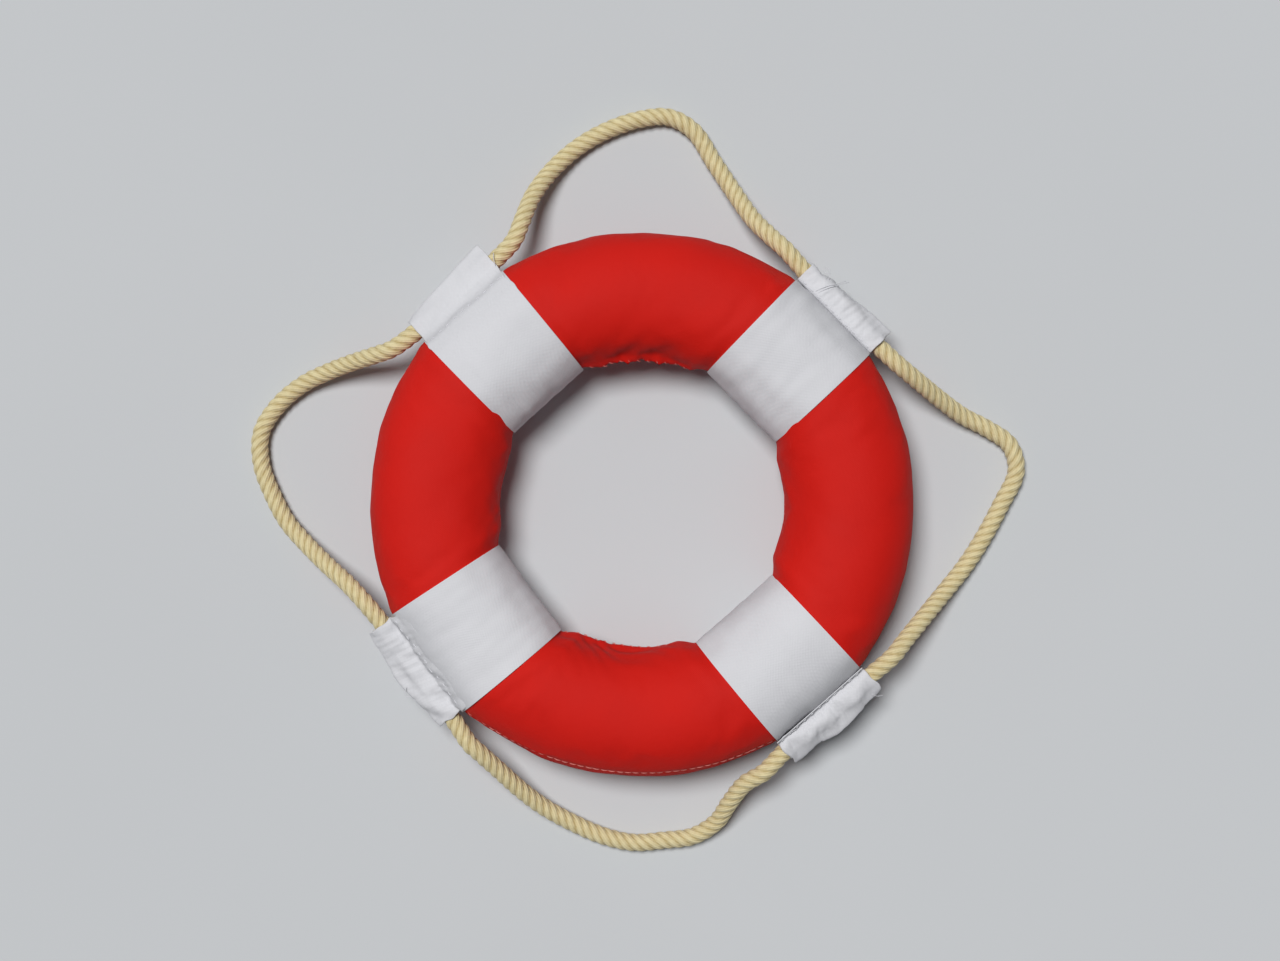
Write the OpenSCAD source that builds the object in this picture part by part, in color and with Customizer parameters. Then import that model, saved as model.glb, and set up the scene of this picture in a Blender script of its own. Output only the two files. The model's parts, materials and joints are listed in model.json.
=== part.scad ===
// Ring lifebuoy: a foam ring in a two-panel cloth cover, four cloth bands, and a
// grab rope that runs through a cloth sleeve at each band.
// It lies flat on the floor, centred on the origin, with +Z up. Sizes are in millimetres.

/* [Ring] */
// Outer diameter of the covered ring
ring_diameter = 254; // [240:1:280]
// Width of the ring's tube, from the hole to the outer rim
tube_width = 61; // [58:1:66]
// Height of the covered tube
tube_height = 52; // [46:1:54]
// Thickness of the cover cloth with its padding
cover_thickness = 0.8; // [0.6:0.1:1]
// Gap left between neighbouring layers
layer_gap = 0.1; // [0.1:0.05:0.2]

/* [Bands] */
// Thickness of a band, a folded strip of cloth
band_thickness = 0.9; // [0.7:0.1:1.2]
// Width of the bands: upper left, upper right, lower right, lower left
band_widths = [47, 48, 50, 53];
// How far the bands pull the outer rim in, making it flat behind each sleeve
rim_flat = 2.8; // [2:0.1:3.2]

/* [Grab rope] */
// Diameter of the twisted rope
rope_diameter = 8.4; // [7:0.2:8.4]
// Clearance between the rope and the bore of a sleeve
rope_clearance = 0.15; // [0.1:0.05:0.3]
// Thickness of the sleeve cloth
sleeve_wall = 0.85; // [0.6:0.05:1]
// How much longer each sleeve is than its band is wide
sleeve_overhang = [1, 0, 3, 1];
// How far each sleeve's folded edge reaches beyond the rope's centre line, at the
// sleeve's clockwise end and at its anticlockwise end
sleeve_reach_start = [11.4, 8.8, 8.6, 8.8];
sleeve_reach_end = [5.8, 5.4, 9.2, 7.6];

/* [Hidden] */

// The four corners in order: upper left, upper right, lower right, lower left
UL = 0;
UR = 1;
LR = 2;
LL = 3;
corner_angles = [132, 44.5, 311.5, 216.5];

cover_radius = tube_height / 2;
band_outset = layer_gap + band_thickness;
mid_z = cover_radius + band_outset;
centre_radius = (ring_diameter - tube_width) / 2;
section_shift = (tube_width - tube_height) / 2;
cover_flat = ring_diameter / 2 - rim_flat;
rope_radius = rope_diameter / 2;
sleeve_bore = rope_radius + rope_clearance;
sleeve_radius = sleeve_bore + sleeve_wall;
// Distance from the ring's axis to the straight stretch of rope in every sleeve
rope_distance = cover_flat + band_outset + layer_gap + sleeve_radius;
sleeve_lengths = [for (c = [0:3]) band_widths[c] + sleeve_overhang[c]];
seam_radius = 0.35;
stitch_length = 2.4;
stitch_pitch = 5.5;
// A rope stretch ends this far past the sleeve, and its loop starts this far on from that
rope_stub = 6.2;
tape_length = 22;
tape_depth = 0.45;
ring_faces = 72;
section_faces = 28;

// Route of each loop's centre line, from one sleeve to the next, resting on the floor at 4.4 mm
top_route = [[-62, 120, 27], [-60, 123, 27], [-56, 133, 23.5], [-51, 146, 15.5], [-42, 159, 8],
    [-30, 170, 5], [-16, 178, 4.4], [-1, 183, 4.4], [13, 184, 4.4], [25, 177, 4.4], [34, 163, 5],
    [43, 149, 8], [52, 135, 15.5], [60, 126, 22.5], [67, 119, 27], [69, 116, 27]];
right_route = [[118, 67, 27], [120, 65, 27], [129, 58, 22.5], [140, 50, 14.5], [152, 42, 7.5],
    [164, 36, 5], [175, 28, 4.4], [178, 15, 4.4], [171, 0, 4.4], [163, -15, 4.4], [154, -29, 5],
    [144, -41, 8.5], [134, -52, 15.5], [124, -63, 22.5], [117, -71, 27], [115, -74, 27]];
bottom_route = [[59, -123, 27], [57, -125, 27], [48, -131, 23], [41, -141, 15.5], [35, -151, 8],
    [24, -158, 5], [10, -160, 4.4], [-4, -161, 4.4], [-18, -158, 4.4], [-32, -152, 5],
    [-46, -144, 8], [-57, -135, 13.5], [-67, -125, 20], [-76, -116, 25.5], [-81, -111, 27],
    [-83, -108, 27]];
left_route = [[-128, -48, 27], [-130, -45, 27], [-138, -37, 23], [-149, -28, 15], [-160, -18, 8],
    [-169, -8, 5], [-176, 5, 4.4], [-181, 19, 4.4], [-181, 34, 4.4], [-173, 47, 4.4],
    [-161, 57, 5.5], [-148, 63, 9.5], [-136, 67, 16], [-125, 70, 23], [-116, 73, 27],
    [-113, 75, 27]];

// Half of a tube section that is inset from the cover's outer face
module tube_section(inset) {
    r = cover_radius - inset;
    translate([centre_radius, mid_z]) {
        translate([-section_shift, 0]) circle(r, $fn = section_faces);
        translate([section_shift, 0]) circle(r, $fn = section_faces);
        square([2 * section_shift, 2 * r], center = true);
    }
}

// A whole ring inset from the cover's outer face, with a flat on its rim behind each sleeve
module ring_layer(inset) {
    difference() {
        rotate_extrude($fn = ring_faces) tube_section(inset);
        for (angle = corner_angles)
            rotate(angle) translate([cover_flat - inset, -60, -10]) cube([40, 120, 80]);
    }
}

// The cover's shell between two heights
module cover_shell(low, high) {
    intersection() {
        difference() {
            ring_layer(0);
            ring_layer(cover_thickness);
        }
        translate([-150, -150, low]) cube([300, 300, high - low]);
    }
}

// Puts its children, made about the rope's line with X outward and Y along the rope, at a corner
module at_corner(c) {
    rotate(corner_angles[c]) translate([rope_distance, 0, mid_z]) children();
}

module foam_core() {
    color("whitesmoke") ring_layer(cover_thickness + layer_gap);
}

module cover_front() {
    color("firebrick") cover_shell(mid_z + seam_radius + layer_gap, 100);
}

module cover_back() {
    color("firebrick") cover_shell(-10, mid_z - seam_radius - layer_gap);
}

// A thread that follows the rim where the two cover panels meet
module outer_seam_thread() {
    color("red") difference() {
        rotate_extrude($fn = ring_faces)
            translate([ring_diameter / 2 - cover_thickness / 2, mid_z])
            circle(seam_radius, $fn = 6);
        for (c = [0:3])
            rotate(corner_angles[c])
            translate([60, -band_widths[c] / 2 - 4, 0]) cube([90, band_widths[c] + 8, 60]);
    }
}

module inner_seam_thread() {
    color("red") rotate_extrude($fn = ring_faces)
        translate([centre_radius - tube_width / 2 + cover_thickness / 2, mid_z])
        circle(seam_radius, $fn = 6);
}

// A cloth strip wrapped right round the covered tube
module band(c) {
    color("white") intersection() {
        difference() {
            ring_layer(-band_outset);
            ring_layer(-layer_gap);
        }
        rotate(corner_angles[c])
            translate([30, -band_widths[c] / 2, -10]) cube([150, band_widths[c], 80]);
    }
}

// A cloth tube for the rope, with a foot sewn to the band and a folded outer edge
module sleeve(c) {
    length = sleeve_lengths[c];
    color("white") at_corner(c) difference() {
        union() {
            rotate([90, 0, 0]) cylinder(r = sleeve_radius, h = length, center = true, $fn = 32);
            translate([-sleeve_radius, -length / 2, -7]) cube([sleeve_wall, length, 14]);
            translate([0, 0, -0.8]) linear_extrude(1.6)
                polygon([[0, -length / 2], [sleeve_reach_start[c], -length / 2],
                    [sleeve_reach_end[c], length / 2], [0, length / 2]]);
        }
        rotate([90, 0, 0]) cylinder(r = sleeve_bore, h = length + 2, center = true, $fn = 32);
    }
}

// Two rows of running stitches that hold the sleeve's foot to its band
module stitches(c) {
    rows = floor((sleeve_lengths[c] - 6) / stitch_pitch / 2);
    color("ghostwhite") at_corner(c)
        for (side = [-1, 1], step = [-rows:rows])
            translate([-sleeve_radius + sleeve_wall + layer_gap + seam_radius,
                step * stitch_pitch, side * 6.2])
            rotate([90, 0, 0]) cylinder(r = seam_radius, h = stitch_length, center = true, $fn = 6);
}

// The straight stretch of rope in a sleeve, with eased ends
module rope_stretch(c, waist) {
    half = sleeve_lengths[c] / 2 + rope_stub;
    profile = [[0, -half], [rope_radius - 1.6, -half], [rope_radius, -half + 2.6],
        [rope_radius, half - 2.6], [rope_radius - 1.6, half], [0, half]];
    color("wheat") at_corner(c) rotate([90, 0, 0]) difference() {
        rotate_extrude($fn = 28) polygon(profile);
        if (waist > 0) difference() {
            cylinder(r = rope_radius + 1, h = waist, center = true, $fn = 28);
            cylinder(r = rope_radius - tape_depth - 0.05, h = waist + 2, center = true, $fn = 28);
        }
    }
}

// Tape that binds the rope's two ends together, hidden in the lower left sleeve
module rope_end_tape() {
    color("tan") at_corner(LL) rotate([90, 0, 0]) difference() {
        cylinder(r = rope_radius, h = tape_length, center = true, $fn = 28);
        cylinder(r = rope_radius - tape_depth, h = tape_length + 2, center = true, $fn = 28);
    }
}

// Direction of a route at one of its points
function route_way(route, i) =
    let (a = route[max(i - 1, 0)], b = route[min(i + 1, len(route) - 1)])
    (b - a) / norm(b - a);

// One ring of points around a route's centre line; the two end rings are eased
function rope_ring(route, i, sides) =
    let (way = route_way(route, i),
        across = cross(way, [0, 0, 1]) / norm(cross(way, [0, 0, 1])),
        up = cross(across, way),
        r = (i == 0 || i == len(route) - 1) ? rope_radius * 0.6 : rope_radius)
    [for (k = [0:sides - 1])
        route[i] + r * (cos(k * 360 / sides) * across + sin(k * 360 / sides) * up)];

module swept_rope(route) {
    sides = 10;
    last = len(route) - 1;
    points = [for (i = [0:last], p = rope_ring(route, i, sides)) p];
    skin = [for (i = [0:last - 1], k = [0:sides - 1])
        [i * sides + k, i * sides + (k + 1) % sides,
            (i + 1) * sides + (k + 1) % sides, (i + 1) * sides + k]];
    first_cap = [for (k = [sides - 1:-1:0]) k];
    last_cap = [for (k = [0:sides - 1]) last * sides + k];
    color("wheat") polyhedron(points, concat(skin, [first_cap], [last_cap]), convexity = 6);
}

module band_upper_left() { band(UL); }
module band_upper_right() { band(UR); }
module band_lower_right() { band(LR); }
module band_lower_left() { band(LL); }
module sleeve_upper_left() { sleeve(UL); }
module sleeve_upper_right() { sleeve(UR); }
module sleeve_lower_right() { sleeve(LR); }
module sleeve_lower_left() { sleeve(LL); }
module stitches_upper_left() { stitches(UL); }
module stitches_upper_right() { stitches(UR); }
module stitches_lower_right() { stitches(LR); }
module stitches_lower_left() { stitches(LL); }
module rope_in_upper_left() { rope_stretch(UL, 0); }
module rope_in_upper_right() { rope_stretch(UR, 0); }
module rope_in_lower_right() { rope_stretch(LR, 0); }
module rope_in_lower_left() { rope_stretch(LL, tape_length + 0.2); }
module loop_top() { swept_rope(top_route); }
module loop_right() { swept_rope(right_route); }
module loop_bottom() { swept_rope(bottom_route); }
module loop_left() { swept_rope(left_route); }

foam_core();
cover_front();
cover_back();
outer_seam_thread();
inner_seam_thread();
band_upper_left();
band_upper_right();
band_lower_right();
band_lower_left();
sleeve_upper_left();
sleeve_upper_right();
sleeve_lower_right();
sleeve_lower_left();
stitches_upper_left();
stitches_upper_right();
stitches_lower_right();
stitches_lower_left();
rope_in_upper_left();
rope_in_upper_right();
rope_in_lower_right();
rope_in_lower_left();
rope_end_tape();
loop_top();
loop_right();
loop_bottom();
loop_left();
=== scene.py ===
# %% [markdown]
# # A cloth-covered ring lifebuoy
# A small lifebuoy is a foam ring in a sewn red cover, with four white bands round it and a
# twisted cotton rope that runs through a white sleeve at each band. Nearly everything on it is
# cloth or rope, so nearly everything is modelled soft. The frame comes first: it holds the
# bodies that move, and each new piece of the ring rides on one of them.

import json
import math

import bpy
import numpy as np
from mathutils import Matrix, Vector, noise


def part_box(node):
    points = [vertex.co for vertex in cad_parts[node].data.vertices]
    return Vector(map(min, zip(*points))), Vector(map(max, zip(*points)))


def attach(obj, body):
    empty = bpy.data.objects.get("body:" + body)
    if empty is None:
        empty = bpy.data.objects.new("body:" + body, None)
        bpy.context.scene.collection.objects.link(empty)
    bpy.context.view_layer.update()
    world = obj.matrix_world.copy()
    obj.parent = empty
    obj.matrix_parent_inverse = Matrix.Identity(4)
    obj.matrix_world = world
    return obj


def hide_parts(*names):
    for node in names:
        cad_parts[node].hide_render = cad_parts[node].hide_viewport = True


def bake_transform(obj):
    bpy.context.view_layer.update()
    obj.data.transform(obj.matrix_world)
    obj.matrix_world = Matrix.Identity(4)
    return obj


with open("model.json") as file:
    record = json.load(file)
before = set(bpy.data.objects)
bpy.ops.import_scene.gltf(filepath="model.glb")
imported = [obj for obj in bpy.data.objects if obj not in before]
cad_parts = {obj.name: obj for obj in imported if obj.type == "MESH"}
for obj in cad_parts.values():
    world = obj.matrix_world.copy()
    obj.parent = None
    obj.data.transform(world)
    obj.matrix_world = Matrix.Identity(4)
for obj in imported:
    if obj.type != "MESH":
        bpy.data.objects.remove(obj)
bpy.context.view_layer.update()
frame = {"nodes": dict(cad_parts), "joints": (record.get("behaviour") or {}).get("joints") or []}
MM = 0.001

# %% [markdown]
# The lifebuoy lies on the floor and is looked at from straight above. A camera with no turn
# looks down the Z axis with +Y at the top of the picture, so only its place and its lens are
# needed. The lens follows from how wide the view is at half the height of the ring.

# %% Camera
CAMERA_HEIGHT = 1.2
RING_MIDDLE = 0.027
VIEW_WIDTH = 0.5976
SENSOR_WIDTH = 36.0

bpy.ops.object.camera_add(location=(-0.0009, 0.0112, CAMERA_HEIGHT), rotation=(0, 0, 0))
camera = bpy.context.object
camera.data.sensor_width = SENSOR_WIDTH
camera.data.lens = SENSOR_WIDTH * (CAMERA_HEIGHT - RING_MIDDLE) / VIEW_WIDTH
bpy.context.scene.camera = camera
print("lens in millimetres:", round(camera.data.lens, 1))

# %% [markdown]
# The rope passes through four sleeves, one at each corner of the ring. The straight stretch of
# rope inside a sleeve is a node of the frame, so the middle of its box gives the corner's place,
# and its direction from the centre gives the way out. A point at a corner is then given by how
# far out it is, how far along the sleeve and how far up.

# %% Corners
CORNERS = ("upper_left", "upper_right", "lower_right", "lower_left")
SLEEVE_LENGTH = dict(zip(CORNERS, (0.048, 0.048, 0.053, 0.054)))


def middle(node):
    low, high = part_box(node)
    return (Vector(low) + Vector(high)) / 2


def corner_axes(corner):
    """The rope's middle at a corner, and the ways out, along and up."""
    centre = middle("rope_in_" + corner)
    out = Vector((centre.x, centre.y, 0)).normalized()
    return centre, out, Vector((-out.y, out.x, 0)), Vector((0, 0, 1))


def at_corner(corner, outward, along, up):
    """Points in the frame from arrays of places at a corner."""
    centre, x, y, z = (np.array(v) for v in corner_axes(corner))
    return centre + np.outer(outward, x) + np.outer(along, y) + np.outer(up, z)


for corner in CORNERS:
    centre, out, _, _ = corner_axes(corner)
    print(corner, "at", round(math.degrees(math.atan2(out.y, out.x)) % 360, 1), "degrees")

# %% [markdown]
# Each free loop of rope is given by points on its centre line, from one sleeve to the next. It
# leaves the sleeve level, drops in an easy curve and then lies on the floor. The rope runs on
# inside the sleeves to their middles, where one stretch meets the next out of sight.

# %% Rope routes
ROPE_RADIUS = 0.0042
ROUTES = {
    "top": ("upper_left", "upper_right", [
        (-60, 123, 27), (-56, 133, 23.5), (-51, 146, 15.5), (-42, 159, 8), (-30, 170, 5),
        (-16, 178, 4.4), (-1, 183, 4.4), (13, 184, 4.4), (25, 177, 4.4), (34, 163, 5),
        (43, 149, 8), (52, 135, 15.5), (60, 126, 22.5), (67, 119, 27)]),
    "right": ("upper_right", "lower_right", [
        (120, 65, 27), (129, 58, 22.5), (140, 50, 14.5), (152, 42, 7.5), (164, 36, 5),
        (175, 28, 4.4), (178, 15, 4.4), (171, 0, 4.4), (163, -15, 4.4), (154, -29, 5),
        (144, -41, 8.5), (134, -52, 15.5), (124, -63, 22.5), (117, -71, 27)]),
    "bottom": ("lower_right", "lower_left", [
        (57, -125, 27), (48, -131, 23), (41, -141, 15.5), (35, -151, 8), (24, -158, 5),
        (10, -160, 4.4), (-4, -161, 4.4), (-18, -158, 4.4), (-32, -152, 5), (-46, -144, 8),
        (-57, -135, 13.5), (-67, -125, 20), (-76, -116, 25.5), (-81, -111, 27)]),
    "left": ("lower_left", "upper_left", [
        (-130, -45, 27), (-138, -37, 23), (-149, -28, 15), (-160, -18, 8), (-169, -8, 5),
        (-176, 5, 4.4), (-181, 19, 4.4), (-181, 34, 4.4), (-173, 47, 4.4), (-161, 57, 5.5),
        (-148, 63, 9.5), (-136, 67, 16), (-125, 70, 23), (-116, 73, 27)]),
}


def sleeve_stations(corner, toward):
    """Points on the sleeve's line from its middle to its mouth, on the side of a given point."""
    centre, _, along, _ = corner_axes(corner)
    side = 1 if (Vector(toward) * MM - centre).dot(along) > 0 else -1
    reach = SLEEVE_LENGTH[corner] / 2
    return [centre + along * side * reach * share for share in (0, 0.35, 0.7, 1.05)]


POINTS_BETWEEN = 40


def smooth_line(stations):
    """Many points on a smooth line through the stations."""
    p = np.array([tuple(s) for s in stations])
    p = np.vstack([2 * p[0] - p[1], p, 2 * p[-1] - p[-2]])
    t = np.linspace(0, 1, POINTS_BETWEEN, endpoint=False)[:, None]
    parts = [
        0.5 * (2 * b + (c - a) * t + (2 * a - 5 * b + 4 * c - d) * t**2
               + (3 * b - a - 3 * c + d) * t**3)
        for a, b, c, d in zip(p, p[1:], p[2:], p[3:])]
    return np.vstack(parts + [p[-2]])


def even_points(line, count):
    """Evenly spaced points on a line, and its length."""
    run = np.r_[0, np.cumsum(np.linalg.norm(np.diff(line, axis=0), axis=1))]
    steps = np.linspace(0, run[-1], count)
    return np.column_stack([np.interp(steps, run, part) for part in line.T]), run[-1]


print("loops of rope:", ", ".join(ROUTES))

# %% [markdown]
# The rope is laid from four strands that turn to the right, once round in a little over two of
# its own diameters. A grid is rolled into a tube along the line: across the grid the radius
# swells and dips for the strands, and along it the whole section turns. The strands are real
# shape, because their bumps show on the rope's outline. In the lower left sleeve the rope is a
# little thinner, because tape binds its two ends there.

# %% Rope pieces
STRANDS = 4
LAY_LENGTH = 0.0181
STRAND_RADIUS = 0.64 * ROPE_RADIUS
STRAND_OFFSET = ROPE_RADIUS - STRAND_RADIUS
ROPE_SIDES = 40
ROPE_STEP = 0.0008
BOUND_LENGTH, BOUND_FADE = 0.012, 0.004
BOUND_SHARE = 0.87


def shaped_grid(name, columns, rows, place, cloth_place):
    """A grid whose points a formula moves; its UV map holds the flat cloth in metres."""
    bpy.ops.object.select_all(action="DESELECT")
    bpy.ops.mesh.primitive_grid_add(x_subdivisions=columns, y_subdivisions=rows, size=2)
    piece = bpy.context.object
    piece.name = piece.data.name = name
    mesh = piece.data
    flat = np.empty(len(mesh.vertices) * 3)
    mesh.vertices.foreach_get("co", flat)
    u, v = (flat.reshape(-1, 3)[:, :2].T + 1) / 2
    corner_of = np.empty(len(mesh.loops), dtype=int)
    mesh.loops.foreach_get("vertex_index", corner_of)
    mesh.uv_layers[0].data.foreach_set("uv", cloth_place(u, v)[corner_of].ravel())
    mesh.vertices.foreach_set("co", place(u, v).ravel())
    mesh.update()
    return piece


def weld(piece, fill_ends=False):
    """Joins points that lie together, closes open ends if asked, and turns faces outward."""
    bpy.ops.object.select_all(action="DESELECT")
    piece.select_set(True)
    bpy.context.view_layer.objects.active = piece
    bpy.ops.object.mode_set(mode="EDIT")
    bpy.ops.mesh.select_all(action="SELECT")
    bpy.ops.mesh.remove_doubles(threshold=1e-6)
    if fill_ends:
        bpy.ops.mesh.select_mode(type="EDGE")
        bpy.ops.mesh.select_all(action="DESELECT")
        bpy.ops.mesh.select_non_manifold()
        bpy.ops.mesh.edge_face_add()
        bpy.ops.mesh.select_all(action="SELECT")
    bpy.ops.mesh.normals_make_consistent(inside=False)
    bpy.ops.object.mode_set(mode="OBJECT")
    bpy.ops.object.shade_smooth()
    return piece


def section_axes(line):
    """Two directions across the line at each point, which never twist about it."""
    ways = np.gradient(line, axis=0)
    ways /= np.linalg.norm(ways, axis=1)[:, None]
    side = np.cross(ways[0], (0, 0, 1))
    sides = []
    for way in ways:
        side = side - way * (side @ way)
        side = side / np.linalg.norm(side)
        sides.append(side)
    sides = np.array(sides)
    return sides, np.cross(ways, sides)


def tube(name, line, length, sides_round, radius_at, cloth_place):
    """A closed tube along a line, where radius_at gives the radius from ring and angle."""
    sides, ups = section_axes(line)
    last = len(line) - 1

    def place(u, v):
        ring = np.rint(u * last).astype(int)
        angle = v * 2 * math.pi
        radius = radius_at(ring, angle)
        return (line[ring] + (radius * np.cos(angle))[:, None] * sides[ring]
                + (radius * np.sin(angle))[:, None] * ups[ring])

    return weld(shaped_grid(name, last, sides_round, place, cloth_place), fill_ends=True)


def strand_radius(turn):
    """Distance from the rope's centre to its surface, where turn is the angle round it."""
    share = 2 * math.pi / STRANDS
    off = (turn + share / 2) % share - share / 2
    return STRAND_OFFSET * np.cos(off) + np.sqrt(
        STRAND_RADIUS**2 - (STRAND_OFFSET * np.sin(off)) ** 2)


def rope_piece(name, start, end, points):
    stations = (sleeve_stations(start, points[0])
                + [Vector(p) * MM for p in points]
                + sleeve_stations(end, points[-1])[::-1])
    line, length = even_points(smooth_line(stations), 2)
    rings = int(length / ROPE_STEP) + 1
    line, length = even_points(smooth_line(stations), rings)
    run = np.linspace(0, length, rings)
    bound = np.ones(rings)
    for corner, away in ((start, run), (end, length - run)):
        if corner == "lower_left":
            slack = np.clip((away - BOUND_LENGTH) / BOUND_FADE, 0, 1)
            bound = BOUND_SHARE + (1 - BOUND_SHARE) * slack

    def radius_at(ring, angle):
        return strand_radius(angle - run[ring] / LAY_LENGTH * 2 * math.pi) * bound[ring]

    def along_strands(u, v):
        return np.column_stack([u * length, v - u * length / LAY_LENGTH])

    return tube(name, line, length, ROPE_SIDES, radius_at, along_strands), line, length


ropes = {}
joints = {joint["name"]: joint for joint in frame["joints"]}
for side, (start, end, points) in ROUTES.items():
    rope, line, length = rope_piece("rope_" + side, start, end, points)
    ropes[side] = rope
    joint = joints[side + "_loop_lift"]
    hinge = Vector(joint["pos_m"])
    axis = Vector(joint["axis"]).normalized()
    outward = axis.cross(Vector((0, 0, -1)))
    rope_middle = Vector(line[len(line) // 2])
    if (rope_middle - hinge).dot(outward) < 0:
        outward.negate()
    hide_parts("loop_" + side, "rope_in_" + start)
    side + "_loop"
    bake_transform(rope)
    mouth = sleeve_stations(start, points[0])[-1]
    print(rope.name, "length", round(length, 4), "faces", len(rope.data.polygons))

# %% [markdown]
# The covered tube is a little wider than it is high. Away from the bands it is a ring, and
# under each band the strap pulls it into a short straight tube, which is why the cloth bulges
# again on both sides of a band. One formula gives that shape for any place round the ring and
# round the tube, so the cover and the bands are sure to fit each other.

# %% Shape of the tube
CENTRE_RADIUS = 0.0965
TUBE_HALF_HEIGHT = 0.026
TUBE_SHIFT = 0.0045
SHIFT_SHARPNESS = 2.2
STRAIGHT_CENTRE = 0.09495
STRAIGHT_SHIFT = 0.00325
BAND_RISE = 0.001
BAND_HALF_WIDTH = {
    "upper_left": (0.0218, 0.0245),
    "upper_right": (0.0228, 0.0243),
    "lower_right": (0.0237, 0.0256),
    "lower_left": (0.0245, 0.0280),
}
INNER_EDGE, OUTER_EDGE = 0.0647, 0.1252
BULGE_START, BULGE_LENGTH = 0.002, 0.009


def smoothstep(t):
    t = np.clip(t, 0, 1)
    return t * t * (3 - 2 * t)


def section(angle, shift, half_height):
    """Across and up from the middle of the tube's section, where angle is 0 at the outer rim."""
    across = (half_height * np.cos(angle)
              + shift * np.tanh(SHIFT_SHARPNESS * np.cos(angle)) / math.tanh(SHIFT_SHARPNESS))
    return across, half_height * np.sin(angle)


def band_half_width(corner, outward):
    inner, outer = BAND_HALF_WIDTH[corner]
    return np.interp(outward, (INNER_EDGE, OUTER_EDGE), (inner, outer))


def corner_angle(corner):
    _, out, _, _ = corner_axes(corner)
    return math.atan2(out.y, out.x)


def ring_surface(turn, angle):
    """Points of the cover, and how far each is past the edge of its nearest band."""
    across, up = section(angle, TUBE_SHIFT, TUBE_HALF_HEIGHT)
    radius = CENTRE_RADIUS + across
    points = np.column_stack([radius * np.cos(turn), radius * np.sin(turn), RING_MIDDLE + up])
    past_edge = np.full(len(turn), 1.0)
    straight_across, straight_up = section(angle, STRAIGHT_SHIFT, TUBE_HALF_HEIGHT)
    for corner in CORNERS:
        away = (turn - corner_angle(corner) + math.pi) % (2 * math.pi) - math.pi
        near = np.abs(away) < math.pi / 4
        sideways = radius * np.sin(away)
        outward = STRAIGHT_CENTRE + straight_across
        edge = np.abs(sideways) - band_half_width(corner, outward)
        share = smoothstep((edge + BULGE_START) / BULGE_LENGTH)[:, None]
        _, x, y, _ = (np.array(v) for v in corner_axes(corner))
        straight = np.outer(outward, x) + np.outer(sideways, y)
        straight[:, 2] = RING_MIDDLE + straight_up
        points[near] = (straight * (1 - share) + points * share)[near]
        past_edge[near] = edge[near]
    return points, past_edge


print("tube in millimetres:", round(2000 * (TUBE_HALF_HEIGHT + TUBE_SHIFT), 1), "wide,",
      round(2000 * TUBE_HALF_HEIGHT, 1), "high")

# %% [markdown]
# The cover is two red panels sewn together round the outer rim and round the hole. It starts as
# a torus primitive put into the shape of the tube. The seam on the outer rim is a shallow
# valley that climbs a little on the near side. The hand-sewn one round the hole is drawn
# tighter: at the far and the near side the cloth beside it is pulled in, and only a narrow lip
# of gathered cloth stands up along the stitches.

# %% Cover before it is filled
COVER_TURNS = 320
COVER_SIDES = 64
OUTER_VALLEY, INNER_VALLEY = 0.0008, 0.0011
VALLEY_WIDTH = 0.0013
SEAM_STEP, STEP_START, STEP_FADE = 0.0006, 0.0006, 0.006
OUTER_CLIMB, INNER_CLIMB = 0.0112, 0.0055
DRAWN_DEPTH, DRAWN_FROM, DRAWN_OVER = 0.0023, 0.025, 0.020
LIP_WIDTH = 0.0024
PANEL_ARC = 0.0288

bpy.ops.object.select_all(action="DESELECT")
bpy.ops.mesh.primitive_torus_add(
    major_segments=COVER_TURNS, minor_segments=COVER_SIDES,
    major_radius=CENTRE_RADIUS, minor_radius=TUBE_HALF_HEIGHT)
cover = bpy.context.object
cover.name = "cover"


def mesh_points(mesh):
    points = np.empty(len(mesh.vertices) * 3)
    mesh.vertices.foreach_get("co", points)
    return points.reshape(-1, 3)


start_points = mesh_points(cover.data)
cover_turn = np.arctan2(start_points[:, 1], start_points[:, 0])
cover_angle = np.arctan2(
    start_points[:, 2], np.hypot(start_points[:, 0], start_points[:, 1]) - CENTRE_RADIUS)
cover_angle -= 0.3 * np.sin(2 * cover_angle)


def bump(turn, centre_degrees, half_degrees):
    away = (turn - math.radians(centre_degrees) + math.pi) % (2 * math.pi) - math.pi
    return smoothstep(1 - np.abs(away) / math.radians(half_degrees))


def lifted_angle(turn, angle):
    """The angle round the tube after both seams have climbed towards the upper side."""
    outer = OUTER_CLIMB * bump(turn, 266, 95) * np.cos(angle / 2) ** 4
    inner = INNER_CLIMB * bump(turn, 94, 42) * np.sin(angle / 2) ** 4
    return angle + (outer - inner) / TUBE_HALF_HEIGHT


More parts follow.
